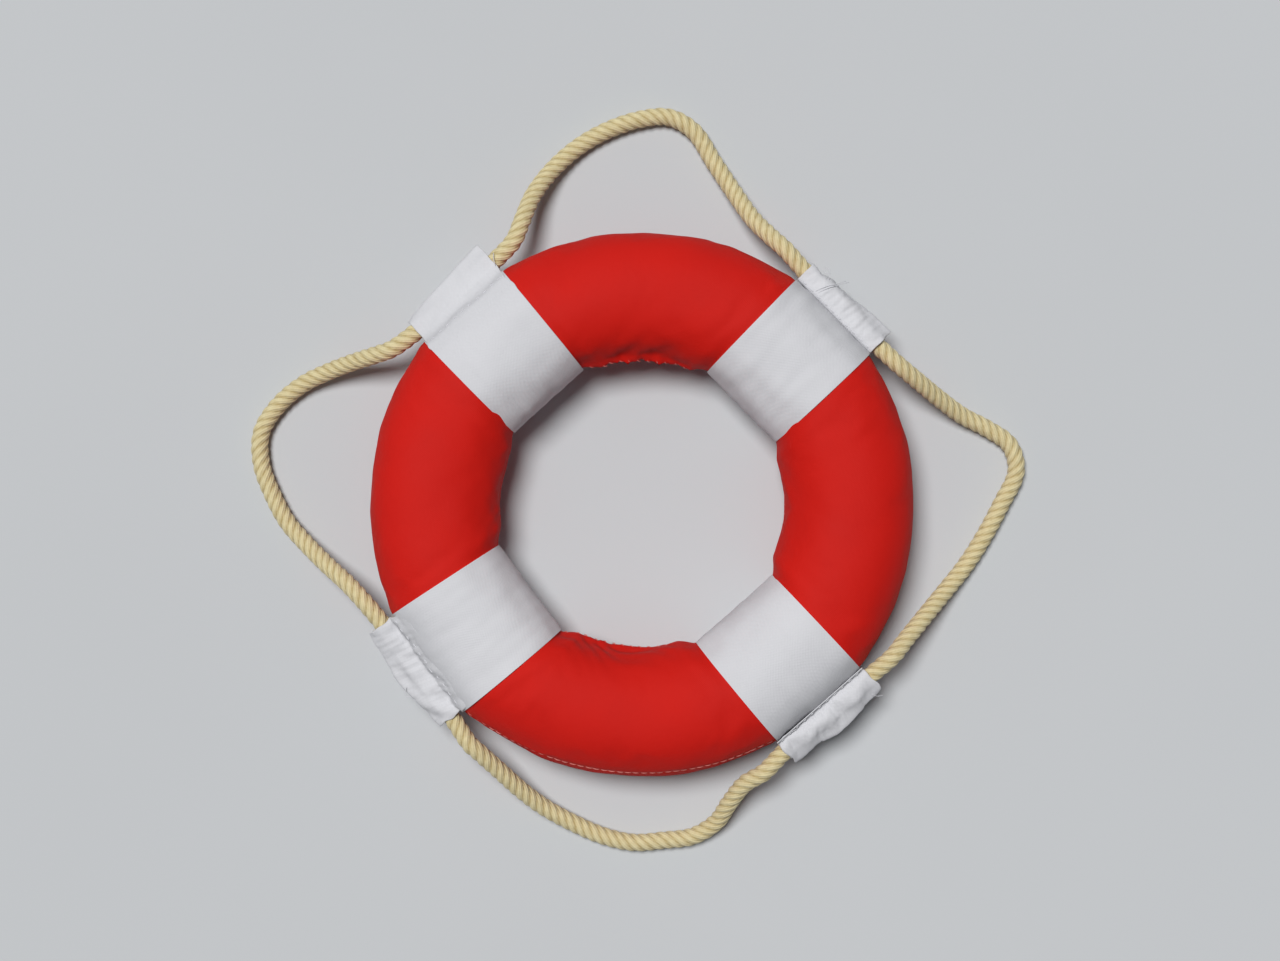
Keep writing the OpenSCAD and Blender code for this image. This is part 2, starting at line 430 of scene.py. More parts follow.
def cover_surface(turn, angle):
    """Points of the cover with its seams, how far each is past a band, and its way inward."""
    points, past_edge = ring_surface(turn, lifted_angle(turn, angle))
    tube_middle = np.column_stack([
        CENTRE_RADIUS * np.cos(turn), CENTRE_RADIUS * np.sin(turn),
        np.full(len(turn), RING_MIDDLE)])
    inward = tube_middle - points
    inward /= np.linalg.norm(inward, axis=1)[:, None]
    arc = np.abs(angle) * TUBE_HALF_HEIGHT
    far_arc = (math.pi - np.abs(angle)) * TUBE_HALF_HEIGHT
    drawn = 1.3 * bump(turn, 93, 40) + bump(turn, 254, 38)
    lip = np.exp(-(far_arc / LIP_WIDTH) ** 2)
    depth = (DRAWN_DEPTH * drawn * smoothstep((DRAWN_FROM - far_arc) / DRAWN_OVER) * (1 - lip)
             + OUTER_VALLEY * np.exp(-(arc / VALLEY_WIDTH) ** 2)
             + INNER_VALLEY * (1 - 0.6 * drawn) * np.exp(-(far_arc / VALLEY_WIDTH) ** 2)
             + (angle < 0) * SEAM_STEP * np.minimum(arc / STEP_START, 1)
             * np.exp(-(arc / STEP_FADE) ** 2))
    return points + inward * depth[:, None], past_edge, inward


filled_from, past_edge, inward = cover_surface(cover_turn, cover_angle)
cover.data.vertices.foreach_set("co", filled_from.ravel())
flat_radius = CENTRE_RADIUS + PANEL_ARC * (math.pi / 2 - np.abs(cover_angle))
flat_panel = np.column_stack([flat_radius * np.cos(cover_turn), flat_radius * np.sin(cover_turn)])
loop_points = np.empty(len(cover.data.loops), dtype=int)
cover.data.loops.foreach_get("vertex_index", loop_points)
cover.data.uv_layers[0].data.foreach_set("uv", flat_panel[loop_points].ravel())
cover.data.update()
print("cover points:", len(filled_from))

# %% [markdown]
# Real cloth over foam is a little too big for its seams: it swells between them and gathers
# into small puckers beside them. A cloth simulation gives that. The seams and the strips under
# the bands are pinned, the cloth grows by about a hundredth, and a light pressure fills it. Each
# point may move only a little, and hardly at all inward, so the cover still fits its foam.

# %% Filling the cover
GROWTH = 0.012
FILL_FRAMES = 20
MOST_SINK = 0.0003
LOWEST = 0.0002
MOST_SWELL = 0.0009


def simulate_fill(piece, held, growth):
    pins = piece.vertex_groups.new(name="pins")
    pins.add([int(i) for i in np.flatnonzero(held)], 1.0, "REPLACE")
    cloth = piece.modifiers.new("fill", "CLOTH")
    settings = cloth.settings
    settings.quality = 6
    settings.mass = 0.15
    settings.tension_stiffness = settings.compression_stiffness = 25
    settings.shear_stiffness = 12
    settings.bending_stiffness = 0.25
    settings.use_pressure = True
    settings.uniform_pressure_force = 4
    settings.shrink_min = -growth
    settings.vertex_group_mass = "pins"
    settings.effector_weights.gravity = 0
    scene = bpy.context.scene
    for step in range(1, FILL_FRAMES + 1):
        scene.frame_set(step)
    bpy.ops.object.select_all(action="DESELECT")
    piece.select_set(True)
    bpy.context.view_layer.objects.active = piece
    bpy.ops.object.modifier_apply(modifier=cloth.name)
    scene.frame_set(1)


def capped_move(before, piece, most):
    """How far each point has moved, shortened so that none goes further than most."""
    moved = mesh_points(piece.data) - before
    size = np.linalg.norm(moved, axis=1)
    print(piece.name, "moved at most", round(size.max() * 1000, 2), "mm")
    return moved * (np.tanh(size / most) * most / np.maximum(size, 1e-9))[:, None]


on_outer_seam = np.abs(cover_angle) < 1e-3
on_inner_seam = np.abs(cover_angle) > math.pi - 1e-3
simulate_fill(cover, on_outer_seam | on_inner_seam | (past_edge < -0.001), GROWTH)
capped = capped_move(filled_from, cover, MOST_SWELL)
sunk = np.maximum((capped * inward).sum(axis=1) - MOST_SINK, 0)
capped -= inward * sunk[:, None]

# %% [markdown]
# The seam round the hole was drawn up by hand, so its gathers are uneven: strong at the far
# side of the hole and again on the near side, and faint elsewhere. They are added as folds that
# run away from the seam and fade within two centimetres. Long waves lean to one side, fine ones
# stay close to the stitches on the far side, and a slow noise keeps both from looking regular.

# %% Gathers round the hole
GATHER_DEPTH = 0.0013
GATHER_FADE = 0.0175
GATHER_LEAN = 620
FINE_FADE, RIM_CALM = 0.009, 0.006
BAND_FADE = 0.004
LUMPS_A_METRE, LUMP_DEPTH = 38, 0.0005


def slow_noise(turn, scale, seed):
    return np.array([noise.noise(Vector((math.cos(t) * scale, math.sin(t) * scale, seed)))
                     for t in turn])


def gather_height(turn, angle):
    far_arc = (math.pi - np.abs(angle)) * TUBE_HALF_HEIGHT
    drift = slow_noise(turn, 3.0, 4.0)
    near_side = np.sin(turn) < 0
    lean = far_arc * GATHER_LEAN * np.where(near_side, -1, 0.6)
    calm_rim = 0.8 - 0.55 * np.exp(-(far_arc / RIM_CALM) ** 2)
    long_share = np.where(near_side, calm_rim, 0.42)
    fine_share = np.where(near_side, 0.1, 0.5) * np.exp(-far_arc / FINE_FADE)
    folds = (long_share * np.sin(turn * 31 + drift * 8 + lean)
             + fine_share * np.sin(turn * 86 + drift * 15 + 1.3))
    strength = (0.2 + bump(turn, 92, 36) + 0.9 * bump(turn, 256, 38)
                + 0.3 * bump(turn, 185, 30)) * (1 + slow_noise(turn, 9.0, 11.0))
    return GATHER_DEPTH * folds * strength * np.exp(-(far_arc / GATHER_FADE) ** 1.4)


free = smoothstep(past_edge / BAND_FADE)
lumps = LUMP_DEPTH * np.array([noise.noise(Vector(p) * LUMPS_A_METRE) for p in filled_from])
height = (gather_height(cover_turn, cover_angle) + lumps) * free
final = filled_from + capped * free[:, None] - inward * height[:, None]
final[:, 2] = np.maximum(final[:, 2], LOWEST)
cover.data.vertices.foreach_set("co", final.ravel())
cover.data.update()
print("gathers stand up to", round(np.abs(height).max() * 1000, 2), "mm")

# %% [markdown]
# The cover is now parted along its two seams into a front and a back panel. Each is smoothed
# once and gets the thickness of its cloth on the inside, where the foam is.

# %% Front and back panels
CLOTH_THICKNESS = 0.0006


def modifier(piece, kind, **settings):
    """Adds a modifier, sets it and applies it."""
    bpy.ops.object.select_all(action="DESELECT")
    piece.select_set(True)
    bpy.context.view_layer.objects.active = piece
    made = piece.modifiers.new(kind.lower(), kind)
    for name, value in settings.items():
        setattr(made, name, value)
    bpy.ops.object.modifier_apply(modifier=made.name)


bpy.ops.object.select_all(action="DESELECT")
cover.select_set(True)
bpy.context.view_layer.objects.active = cover
side_of_seams = np.sign(cover_angle) * ~(on_outer_seam | on_inner_seam)
on_front = np.array([
    side_of_seams[list(polygon.vertices)].sum() > 0 for polygon in cover.data.polygons])
bpy.ops.object.mode_set(mode="EDIT")
bpy.ops.mesh.select_mode(type="FACE")
bpy.ops.object.mode_set(mode="OBJECT")
cover.data.polygons.foreach_set("select", on_front)
bpy.ops.object.mode_set(mode="EDIT")
bpy.ops.mesh.separate(type="SELECTED")
bpy.ops.object.mode_set(mode="OBJECT")
front = [o for o in bpy.context.selected_objects if o != cover][0]
front.name = front.data.name = "cover_front_cloth"
cover.name = cover.data.name = "cover_back_cloth"
back = cover
for panel, node in ((front, "cover_front"), (back, "cover_back")):
    modifier(panel, "SUBSURF", levels=1, render_levels=1)
    modifier(panel, "SOLIDIFY", thickness=CLOTH_THICKNESS, offset=-1)
    panel.vertex_groups.clear()
    bpy.ops.object.shade_smooth()
    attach(panel, "ring")
    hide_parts(node)
    print(panel.name, "faces", len(panel.data.polygons))

# %% [markdown]
# Inside is one closed ring of light foam, squeezed in a little under each band. It is made as
# the cover was, a cloth's thickness further in, so it never shows through.

# %% Foam core
FOAM_INSET = 0.0028
FOAM_TURNS, FOAM_SIDES = 200, 40

bpy.ops.object.select_all(action="DESELECT")
bpy.ops.mesh.primitive_torus_add(
    major_segments=FOAM_TURNS, minor_segments=FOAM_SIDES,
    major_radius=CENTRE_RADIUS, minor_radius=TUBE_HALF_HEIGHT)
foam_core = bpy.context.object
foam_core.name = foam_core.data.name = "foam_ring"
start_points = mesh_points(foam_core.data)
foam_turn = np.arctan2(start_points[:, 1], start_points[:, 0])
foam_angle = np.arctan2(
    start_points[:, 2], np.hypot(start_points[:, 0], start_points[:, 1]) - CENTRE_RADIUS)
foam_points, _, foam_inward = cover_surface(foam_turn, foam_angle)
foam_core.data.vertices.foreach_set("co", (foam_points + foam_inward * FOAM_INSET).ravel())
bpy.ops.object.shade_smooth()
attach(foam_core, "ring")
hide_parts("foam_core")
print("foam ring faces", len(foam_core.data.polygons))

# %% [markdown]
# Each white band is one strip of cloth drawn tight round the tube, so its edges are straight
# and nearly parallel and it is a touch wider at the rim than at the hole. A grid goes once
# round the straight section. A slow noise lets the cloth stand off a little on the upper side,
# and a finer one creases it, so it doesn't look like plastic.

# %% Bands
BAND_AROUND = 176
BAND_ACROSS = 40
BAND_THICKNESS = 0.0008
BAND_SLACK, BAND_CREASE, BAND_SINK = 0.0009, 0.0005, 0.0003
BAND_MAP = (0.181, 0.049)


def band_surface(corner, around, across, rise):
    """Points of a band: around is the angle round the tube, across runs from -1 to 1."""
    straight, up = section(around, STRAIGHT_SHIFT, TUBE_HALF_HEIGHT + rise)
    outward = STRAIGHT_CENTRE + straight
    sideways = across * band_half_width(corner, outward)
    _, x, y, _ = (np.array(v) for v in corner_axes(corner))
    points = np.outer(outward, x) + np.outer(sideways, y)
    points[:, 2] = RING_MIDDLE + up
    return points


def band_piece(corner):
    seed = 20 + 7 * CORNERS.index(corner)

    def place(u, v):
        around = -math.pi / 2 + u * 2 * math.pi
        across = 2 * v - 1
        slack = np.array([noise.noise(Vector((math.cos(a) * 2.2, math.sin(a) * 2.2,
                                              b * 1.1 + seed))) for a, b in zip(around, across)])
        creases = np.array([noise.noise(Vector((a * 1.2, b * 4.5, seed + 3)))
                            for a, b in zip(around, across)])
        top = smoothstep(np.sin(around) * 1.5 + 0.6)
        if corner == "upper_left":
            top = top * (1 - 0.9 * bump(around, 42, 34))
        rise = BAND_RISE + (slack * BAND_SLACK - BAND_SINK + creases * BAND_CREASE) * top
        return band_surface(corner, around, across, rise)

    def cloth_place(u, v):
        return np.column_stack([u * BAND_MAP[0], v * BAND_MAP[1]])

    band = weld(shaped_grid("band_cloth_" + corner, BAND_AROUND, BAND_ACROSS, place, cloth_place))
    modifier(band, "SOLIDIFY", thickness=BAND_THICKNESS, offset=-1)
    bpy.ops.object.shade_smooth_by_angle(angle=math.radians(50))
    return band


bands = []
for corner in CORNERS:
    band = band_piece(corner)
    bands.append(band)
    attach(band, "ring")
    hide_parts("band_" + corner)
    print(band.name, "faces", len(band.data.polygons))

# %% [markdown]
# A sleeve is a strip of the same cloth that starts in the crease beside its band, goes over the
# rope, is pinched along the outer edge and comes back underneath. Its section is a line through
# chosen places, given in millimetres out and up from the middle of the rope. There is one line
# for a narrow sleeve and one for a wide one, and each sleeve blends the two by how far its edge
# reaches out at that place. The sleeve at the upper left is pressed flat into a tab that runs
# on from its band; the others are rolled, and two of them show a second layer inside.

# %% Sleeve sections
SLEEVE_CLOTH = 0.0006
NARROW, WIDE = 5.4, 10.0
ROPE_LINE = corner_axes("upper_left")[0].to_2d().length
SLEEVES = {
    # corner: kind of start, reach from one end to the other in millimetres, then the size of its
    # lumps and its puckers, and how much the cloth grows
    "upper_left": ("flat", (11.6, 10.0, 8.6, 7.2, 6.0), 0.0006, 0.0001, 0.012),
    "upper_right": ("tucked", (8.9, 8.2, 7.0, 6.4, 5.4), 0.0013, 0.0005, 0.014),
    "lower_right": ("hemmed", (7.6, 8.0, 10.4, 9.4, 8.0), 0.0012, 0.0004, 0.035),
    "lower_left": ("creased", (7.8, 8.2, 9.9, 7.8, 6.6), 0.0014, 0.0004, 0.014),
}


def shoulder(angle_degrees, gap):
    """A place on the band's outer shoulder, in mm out and up from the middle of the rope."""
    across, up = section(math.radians(angle_degrees), STRAIGHT_SHIFT,
                         TUBE_HALF_HEIGHT + BAND_RISE + gap * MM)
    return float(STRAIGHT_CENTRE + across - ROPE_LINE) / MM, float(up) / MM


STARTS = {
    "flat": [shoulder(58, -0.75), shoulder(50, -0.45), shoulder(42, -0.15), shoulder(34, 0.35),
             (-6.6, 8.9), (-3.2, 6.1)],
    "tucked": [(-5.3, 3.0), (-4.9, 4.8), (-3.0, 5.9)],
    "hemmed": [shoulder(18, 0.4), shoulder(11, 0.4), (-5.3, 3.6), (-4.8, 5.0), (-3.0, 5.8)],
    "creased": [shoulder(41, -0.9), shoulder(31, -0.4), shoulder(21, 0.3), (-5.6, 6.2),
                (-4.2, 5.9), (-2.4, 6.2)],
}
TOPS = {
    "flat": ([(0, 5.1), (2.4, 4.4), (4.2, 2.6), (5.1, 0.9), (5.4, 0)],
             [(0, 5.1), (3.4, 3.9), (6.6, 2.1), (9.3, 0.7), (10, 0)]),
    "rolled": ([(0, 6.0), (2.6, 5.3), (4.3, 3.8), (5.1, 1.6), (5.4, 0)],
               [(0, 6.0), (3.2, 5.0), (5.4, 2.9), (8.8, 0.9), (10, 0)]),
}
SECOND_LAYER = [(-4.6, -1.2), (-4.2, 2.2), (-2.2, 4.2), (1.0, 4.7), (4.0, 2.6), (4.6, -1.0),
                (2.6, -3.9), (-0.8, -4.7)]


def sleeve_section(kind, wide, count):
    """Even points on a sleeve's section, from its upper foot round to its lower one."""
    top = STARTS[kind] + TOPS["flat" if kind == "flat" else "rolled"][wide]
    places = top + [(x, -z) for x, z in top[-2::-1]]
    if kind in ("tucked", "hemmed"):
        places += SECOND_LAYER
    return even_points(smooth_line(places) * MM, count)


print("kinds of sleeve:", ", ".join(STARTS))

# %% [markdown]
# The section is drawn out along the sleeve, and noise along it gives the lumps and puckers of
# hand sewing. Its ends are left a bit ragged. A short cloth simulation then lets the strip
# buckle: its feet are held, the cloth grows a little and has to go somewhere. Rows are counted
# from the upper foot, as a share of the way round to the end of the cloth.

# %% Sleeves
SLEEVE_ROWS = 72
SLEEVE_COLUMNS = 64
MOST_BUCKLE = 0.0010
RAGGED = 0.0016
HELD_UP_TO = {"flat": 0.3, "tucked": 0.07, "hemmed": 0.07, "creased": 0.16}
HELD_FROM = {"flat": 0.93, "tucked": 0.55, "hemmed": 0.55, "creased": 0.93}


def sleeve_piece(corner):
    kind, reaches, lump, pucker, growth = SLEEVES[corner]
    narrow, _ = sleeve_section(kind, 0, SLEEVE_ROWS + 1)
    wide, around = sleeve_section(kind, 1, SLEEVE_ROWS + 1)
    seed = 60 + 11 * CORNERS.index(corner)
    half = SLEEVE_LENGTH[corner] / 2

    def place(u, v):
        k = np.rint(v * SLEEVE_ROWS).astype(int)
        ends = 2 * u - 1
        reach = np.interp(ends, np.linspace(-1, 1, len(reaches)), reaches)
        share = ((reach - NARROW) / (WIDE - NARROW))[:, None]
        middle_line = narrow[k] * (1 - share) + wide[k] * share
        way = np.gradient(narrow, axis=0)[k] * (1 - share) + np.gradient(wide, axis=0)[k] * share
        way /= np.linalg.norm(way, axis=1)[:, None]
        inside = np.column_stack([way[:, 1], -way[:, 0]])
        free = smoothstep(np.minimum(v, 1 - v) * 8 - (0.8 if kind == "flat" else 0))
        lumps = np.array([noise.noise(Vector((e * half * 135, b * 8, seed)))
                          for e, b in zip(ends, v)])
        folds = np.array([noise.noise(Vector((e * half * 560 + b * 6, b * 6, seed + 5)))
                          for e, b in zip(ends, v)])
        rise = (lumps * lump + folds * pucker) * free
        moved = middle_line - inside * rise[:, None]
        ragged = np.array([noise.noise(Vector((b * 11, seed + 9, e))) for e, b in zip(ends, v)])
        along = ends * half + ragged * RAGGED * np.abs(ends) ** 10
        return at_corner(corner, moved[:, 0], along, moved[:, 1])

    def cloth_place(u, v):
        return np.column_stack([u * half * 2, v * around])

    sleeve = shaped_grid("sleeve_cloth_" + corner, SLEEVE_COLUMNS, SLEEVE_ROWS, place, cloth_place)
    before = mesh_points(sleeve.data)
    count = (SLEEVE_COLUMNS + 1) * (SLEEVE_ROWS + 1)
    row = np.arange(count) // (SLEEVE_COLUMNS + 1) / SLEEVE_ROWS
    simulate_fill(sleeve, (row < HELD_UP_TO[kind]) | (row > HELD_FROM[kind]), growth)
    sleeve.data.vertices.foreach_set(
        "co", (before + capped_move(before, sleeve, MOST_BUCKLE)).ravel())
    sleeve.vertex_groups.clear()
    modifier(sleeve, "SOLIDIFY", thickness=SLEEVE_CLOTH, offset=0)
    modifier(sleeve, "SUBSURF", levels=1, render_levels=1)
    bpy.ops.object.shade_smooth()
    return sleeve, around


ROPES_THROUGH = {
    "upper_left": ["rope_left", "rope_top"],
    "upper_right": ["rope_top", "rope_right"],
    "lower_right": ["rope_right", "rope_bottom"],
    "lower_left": ["rope_bottom", "rope_left"],
}
sleeves = {}
for corner in CORNERS:
    sleeve, around = sleeve_piece(corner)
    sleeves[corner] = sleeve
    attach(sleeve, "ring")
    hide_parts("sleeve_" + corner)
    ["band_cloth_" + corner] + ROPES_THROUGH[corner]
    print(sleeve.name, "cloth round the rope", round(around * 1000, 1), "mm")

# %% [markdown]
# Sewing thread shows as short stitches. One stitch is modelled from a thin cylinder that is
# pinched at both ends and arched, and copies of it are laid along each seam as one piece. Each
# stitch is put down on the nearest place of the finished cloth, so none of them floats or sinks.

# %% Stitches
STITCH_RADIUS, STITCH_LIFT = 0.00025, 0.0002
RIM_REACH = 0.03
AHEAD = 0.002
CLEAR_OF_BAND = 0.0005


def one_stitch(length, arch):
    """Points and faces of one stitch along X, arched up in Z."""
    bpy.ops.object.select_all(action="DESELECT")
    bpy.ops.mesh.primitive_cylinder_add(
        vertices=6, radius=STITCH_RADIUS, depth=length, rotation=(0, math.pi / 2, 0))
    stitch = bpy.context.object
    bpy.ops.object.transform_apply(location=False, rotation=True, scale=False)
    bpy.ops.object.mode_set(mode="EDIT")
    for place in (-0.3, 0.0, 0.3):
        bpy.ops.mesh.select_all(action="SELECT")
        bpy.ops.mesh.bisect(plane_co=(place * length, 0, 0), plane_no=(1, 0, 0))
    bpy.ops.object.mode_set(mode="OBJECT")
    points = mesh_points(stitch.data)
    share = np.abs(points[:, 0]) / (length / 2)
    points[:, 1:] *= (1 - 0.6 * share**3)[:, None]
    points[:, 2] += STITCH_RADIUS * arch * (1 - 2 * share**2)
    faces = [tuple(p.vertices) for p in stitch.data.polygons]
    bpy.data.objects.remove(stitch, do_unlink=True)
    return points, faces


def stitch_row(name, length, centres, ways, normals, arch=1.2):
    """One piece with a stitch at each centre, along its way and standing on its normal."""
    base, base_faces = one_stitch(length, arch)
    points, faces = [], []
    for centre, way, normal in zip(centres, ways, normals):
        way = way / np.linalg.norm(way)
        normal = normal - way * (normal @ way)
        normal = normal / np.linalg.norm(normal)
        side = np.cross(normal, way)
        first = len(points) * len(base)
        points.append(centre + base @ np.array([way, side, normal]))
        faces += [tuple(first + i for i in face) for face in base_faces]
    mesh = bpy.data.meshes.new(name)
    mesh.from_pydata(np.vstack(points).tolist(), [], faces)
    row = bpy.data.objects.new(name, mesh)
    bpy.context.collection.objects.link(row)
    return weld(row)


def on_cloth(piece, point):
    """The place of a piece that is nearest to a point, and the way out of the cloth there."""
    _, spot, out, _ = piece.closest_point_on_mesh(Vector(point))
    return np.array(spot), np.array(out)


def seam_row(name, node, angle, pitch, length, slant):
    """Stitches along one of the cover's rims, as far as the bands."""
    radius = CENTRE_RADIUS + (RIM_REACH if angle == 0 else -RIM_REACH)
    count = int(2 * math.pi * radius / pitch)
    turns = np.arange(count) * 2 * math.pi / count
    turns = turns + slow_noise(turns, 20.0, 2.0) * 0.3 * pitch / radius
    places, past, inwards = cover_surface(turns, np.full(count, float(angle)))
    ahead, _, _ = cover_surface(turns + AHEAD, np.full(count, float(angle)))
    ways = ahead - places
    ways /= np.linalg.norm(ways, axis=1)[:, None]
    places = np.array([on_cloth(front, place)[0] for place in places])
    ups = np.cross(inwards, ways)
    keep = past > CLEAR_OF_BAND
    slanted = ways * math.cos(slant) + ups * math.sin(slant)
    row = stitch_row(name, length, (places - inwards * STITCH_LIFT)[keep], slanted[keep],
                     -inwards[keep], arch=0.6)
    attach(row, "ring")
    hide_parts(node)
    print(name, "has", int(keep.sum()), "stitches")
    return row


seam_rows = [
    seam_row("outer_seam_stitches", "outer_seam_thread", 0, 0.0038, 0.0033, 0.06),
    seam_row("inner_seam_stitches", "inner_seam_thread", math.pi, 0.0042, 0.0032, 1.0),
]

# %% [markdown]
# Each sleeve is sewn to its band by running stitches beside its feet, which lie at another
# height on each kind of sleeve. A few thread ends were never cut off. They are thin tubes on
# smooth lines, and they belong to the stitches of their sleeve.

# %% Sleeve stitches and thread ends
SLEEVE_STITCH, SLEEVE_PITCH = 0.0026, 0.0046
FOOT_MARGIN, FOOT_GAP = 0.003, 1.2
THREAD_RADIUS, THREAD_SIDES = 0.00016, 6
STITCH_LINES = {"flat": 31, "tucked": 13, "hemmed": 14.5, "creased": 23}
THREAD_ENDS = {
    # corner: lines of places, in millimetres out, along and up from the middle of the rope
    "upper_right": [
        [(-3.5, 14.2, 6.3), (1.5, 12.2, 7.2), (6.0, 9.6, 5.6), (9.8, 7.7, 3.6)],
        [(-3.0, 12.8, 6.3), (2.0, 10.9, 7.3), (6.6, 8.5, 5.6), (10.6, 6.4, 4.2)],
        [(4.0, 13.4, 5.4), (6.6, 14.8, 4.8), (8.3, 16.6, 4.3), (8.0, 18.3, 4.1),
         (6.6, 18.4, 4.1), (6.1, 16.8, 4.6), (7.2, 15.3, 5.0)]],
    "lower_right": [
        [(6.8, 21.5, 3.0), (9.0, 23.0, 2.4), (10.6, 25.2, 1.6)],
        [(-4.8, -15.0, 6.6), (-5.6, -18.0, 7.6), (-6.4, -22.0, 7.4), (-5.8, -25.6, 6.4)]],
    "lower_left": [
        [(8.4, 3.2, 2.4), (10.2, 4.6, 2.6), (10.8, 6.6, 2.2), (9.4, 8.0, 2.0)]],
    "upper_left": [[(-2.5, -23.6, 6.6), (0.5, -25.2, 6.0), (2.6, -27.0, 5.4)]],
}


def thread_end(corner, places):
    spots = np.array(places) * MM
    line, length = even_points(smooth_line(at_corner(corner, *spots.T)), 8 * len(places))
    return tube("thread_end", line, length, THREAD_SIDES,
                lambda ring, angle: np.full(len(angle), THREAD_RADIUS),
                lambda u, v: np.column_stack([u * length, v]))


def sleeve_stitches(corner):
    """Running stitches on both feet of a sleeve, and the thread ends that stick out of it."""
    foot = STITCH_LINES[SLEEVES[corner][0]]
    half = SLEEVE_LENGTH[corner] / 2 - FOOT_MARGIN
    outward, up = (v * MM for v in shoulder(foot, FOOT_GAP))
    run = np.arange(-half, half, SLEEVE_PITCH)
    near = np.vstack([at_corner(corner, np.full(len(run), outward), run,
                                np.full(len(run), up * side)) for side in (1, -1)])
    centres, normals = zip(*(on_cloth(sleeves[corner], point) for point in near))
    way = np.array(corner_axes(corner)[2])
    row = stitch_row("sleeve_stitches_" + corner, SLEEVE_STITCH, centres,
                     [way] * len(normals), normals, arch=0.9)
    ends = [thread_end(corner, places) for places in THREAD_ENDS[corner]]
    bpy.ops.object.select_all(action="DESELECT")
    for end in ends + [row]:
        end.select_set(True)
    bpy.context.view_layer.objects.active = row
    bpy.ops.object.join()
    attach(row, "ring")
    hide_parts("stitches_" + corner)
    return row


sleeve_rows = [sleeve_stitches(corner) for corner in CORNERS]
print("sleeve stitches and thread ends:", [len(row.data.polygons) for row in sleeve_rows])

# %% [markdown]
# Materials are made from nodes. A small class lets sums of node values be written as plain
# Python, and one method makes any other node from its type, its settings and its inputs.

# %% Node helpers


class Value:
    """A socket that can be added, multiplied and so on, which makes the Math nodes."""

    def __init__(self, finish, socket):
        self.finish, self.socket = finish, socket

    def math(self, operation, *values):
        return self.finish.node("ShaderNodeMath", {"operation": operation},
                                dict(enumerate(values)))

    def __add__(self, other):
        return self.math("ADD", self, other)

    def __sub__(self, other):
        return self.math("SUBTRACT", self, other)

    def __rsub__(self, other):
        return self.math("SUBTRACT", other, self)

    def __mul__(self, other):
        return self.math("MULTIPLY", self, other)

    def __pow__(self, other):
        return self.math("POWER", self, other)

    __radd__, __rmul__ = __add__, __mul__

    def sine(self):
        return self.math("SINE", self)

    def cosine(self):
        return self.math("COSINE", self)

    def size(self):
        return self.math("ABSOLUTE", self)


class Finish:
    """A material with a Principled shader, built from nodes."""

    def __init__(self, name, **constants):
        self.material = bpy.data.materials.new(name)
        self.material.use_nodes = True
        self.tree = self.material.node_tree
        self.shader = self.tree.nodes["Principled BSDF"]
        for socket, value in constants.items():
            self.shader.inputs[socket.replace("_", " ")].default_value = value

    def node(self, kind, settings=None, inputs=None, output=0):
        made = self.tree.nodes.new(kind)
        for name, value in (settings or {}).items():
            setattr(made, name, value)
        for name, value in (inputs or {}).items():
            if isinstance(value, Value):
                self.tree.links.new(value.socket, made.inputs[name])
            else:
                made.inputs[name].default_value = value
        return Value(self, made.outputs[output])

    def place(self):
        return self.node("ShaderNodeTexCoord", output="Object")

    def cloth(self):
        return self.node("ShaderNodeUVMap")

    def split(self, vector):
        parts = self.node("ShaderNodeSeparateXYZ", inputs={0: vector}).socket.node
        return [Value(self, parts.outputs[k]) for k in range(3)]

    def noise(self, vector, scale, detail=3.0, roughness=0.5):
        return self.node("ShaderNodeTexNoise", inputs={
            "Vector": vector, "Scale": scale, "Detail": detail, "Roughness": roughness})

    def mix(self, share, first, second):
        return self.node("ShaderNodeMix", {"data_type": "RGBA"},
                         {0: share, 6: first, 7: second}, output=2)

    def bump(self, height, strength, distance):
        normal = self.node("ShaderNodeBump", inputs={
            "Height": height, "Strength": strength, "Distance": distance})
        self.tree.links.new(normal.socket, self.shader.inputs["Normal"])

    def paint(self, **inputs):
        for socket, value in inputs.items():
            self.tree.links.new(value.socket, self.shader.inputs[socket.replace("_", " ")])

    def put_on(self, *pieces):
        for piece in pieces:
            piece.data.materials.clear()
            piece.data.materials.append(self.material)


# %% [markdown]
# Both cloths are plain weaves: threads that go over and under each other at a right angle. The
# UV maps hold the flat cloth in metres, so two sine waves give the threads at their true
# spacing. A broad noise varies the colour as dye and handling do.

# %% Cloth finishes
THREAD_SPACING = 0.00048
WEAVE_CONTRAST, WEAVE_BUMP = 0.25, 0.0003


def weave(finish):
    """Height of a plain weave, from 0 to 1, read from the cloth's own flat map."""
    u, v, _ = finish.split(finish.cloth())
    rate = math.pi / THREAD_SPACING
    warp, weft = (u * rate).sine(), (v * rate).sine()
    return (warp * weft) * 0.5 + 0.5


def cloth_finish(name, dark, light, **constants):
    finish = Finish(name, **constants)
    place = finish.place()
    threads = weave(finish)
    patches = finish.noise(place, 26, detail=4)
    lint = finish.noise(place, 900, detail=2)
    share = threads * WEAVE_CONTRAST + patches * 0.55 + lint * 0.2
    finish.paint(Base_Color=finish.mix(share, dark, light),
                 Roughness=patches * 0.15 + 0.62)
    finish.bump(threads * 0.6 + lint * 0.5 + finish.noise(place, 240) * 0.8, 0.5, WEAVE_BUMP)
    return finish


red_cloth = cloth_finish("red cloth", (0.48, 0.005, 0.002, 1), (0.69, 0.011, 0.005, 1),
                         Specular_IOR_Level=0.18)
white_cloth = cloth_finish("white cloth", (0.575, 0.575, 0.60, 1), (0.715, 0.715, 0.74, 1),
                           Specular_IOR_Level=0.3)
red_cloth.put_on(front, back)
white_cloth.put_on(*bands, *sleeves.values())
print("threads of cloth in a centimetre:", round(0.01 / THREAD_SPACING, 1))
